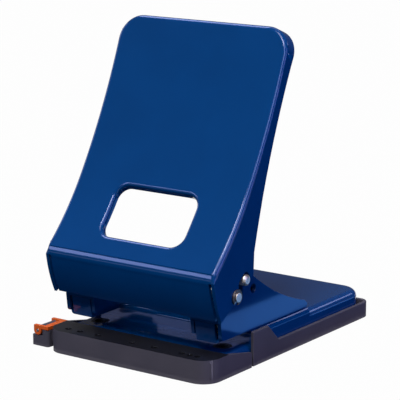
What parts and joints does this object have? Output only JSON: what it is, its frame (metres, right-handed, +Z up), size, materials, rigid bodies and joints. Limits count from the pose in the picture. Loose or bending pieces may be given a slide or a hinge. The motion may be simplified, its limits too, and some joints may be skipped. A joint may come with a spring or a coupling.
{
  "type": "two-hole punch",
  "caption": "Desk two-hole punch: folded steel lever with a window, pressed base plate, black plastic base with chip tray and a sliding paper guide with a flip stop.",
  "frame": {"origin": "on the desk, midway between the two dies", "axes": "+Z up, +Y to the rear, +X to the right as the user faces the paper throat"},
  "size_m": [0.1202, 0.1579, 0.1725],
  "materials": {
    "blue_enamel": "high-gloss blue stove enamel on pressed steel",
    "bright_steel": "bright turned steel",
    "black_plastic": "fine matt texture, charcoal black ABS",
    "orange_plastic": "satin orange ABS"
  },
  "bodies": {
    "base": {"base_plate": "blue_enamel", "die_bush_left": "bright_steel", "die_bush_right": "bright_steel", "frame": "blue_enamel", "frame_rivets": "bright_steel", "punch_housing_left": "blue_enamel", "punch_housing_right": "blue_enamel", "guide_bush_left": "bright_steel", "guide_bush_right": "bright_steel", "return_spring_left": "bright_steel", "return_spring_right": "bright_steel", "pivot_shaft": "bright_steel", "pivot_spacers": "bright_steel", "retaining_clips": "bright_steel", "front_block": "black_plastic", "block_screws": "bright_steel", "guide_detent_spring": "bright_steel", "tray_hinge_brackets": "bright_steel", "tray_hinge_pins": "bright_steel"},
    "lever": {"lever": "blue_enamel"},
    "punch_carriage": {"press_shaft": "bright_steel", "punch_pin_left": "bright_steel", "punch_pin_right": "bright_steel", "spring_collar_left": "bright_steel", "spring_collar_right": "bright_steel"},
    "paper_guide": {"guide_bar": "black_plastic", "guide_end_block": "black_plastic", "stop_hinge_pin": "bright_steel"},
    "flip_stop": {"flip_stop": "orange_plastic"},
    "chip_tray": {"chip_tray": "black_plastic"}
  },
  "joints": [
    {"name": "lever_swing", "type": "hinge", "parent": "base", "child": "lever", "pos_m": [0, -0.0081, 0.0414], "axis": [-1, 0, 0], "range_deg": [0, 60], "stiffness_Nm_per_rad": 0.3, "springref_deg": -57.3},
    {"name": "punch_stroke", "type": "slide", "parent": "base", "child": "punch_carriage", "axis": [0, 0, -1], "range_m": [0, 0.00987], "deforming": ["return_spring_left", "return_spring_right"]},
    {"name": "guide_slide", "type": "slide", "parent": "base", "child": "paper_guide", "axis": [-1, 0, 0], "range_m": [0, 0.088]},
    {"name": "stop_flip", "type": "hinge", "parent": "paper_guide", "child": "flip_stop", "pos_m": [-0.06055, -0.0197, 0.0091], "axis": [0, -1, 0], "range_deg": [0, 90]},
    {"name": "tray_swing", "type": "hinge", "parent": "base", "child": "chip_tray", "pos_m": [0, 0.1169, 0.0105], "axis": [1, 0, 0], "range_deg": [0, 25]}
  ],
  "couplings": [
    {"joint": "punch_stroke", "follows": "lever_swing", "m_per_rad": 0.0094046}
  ]
}
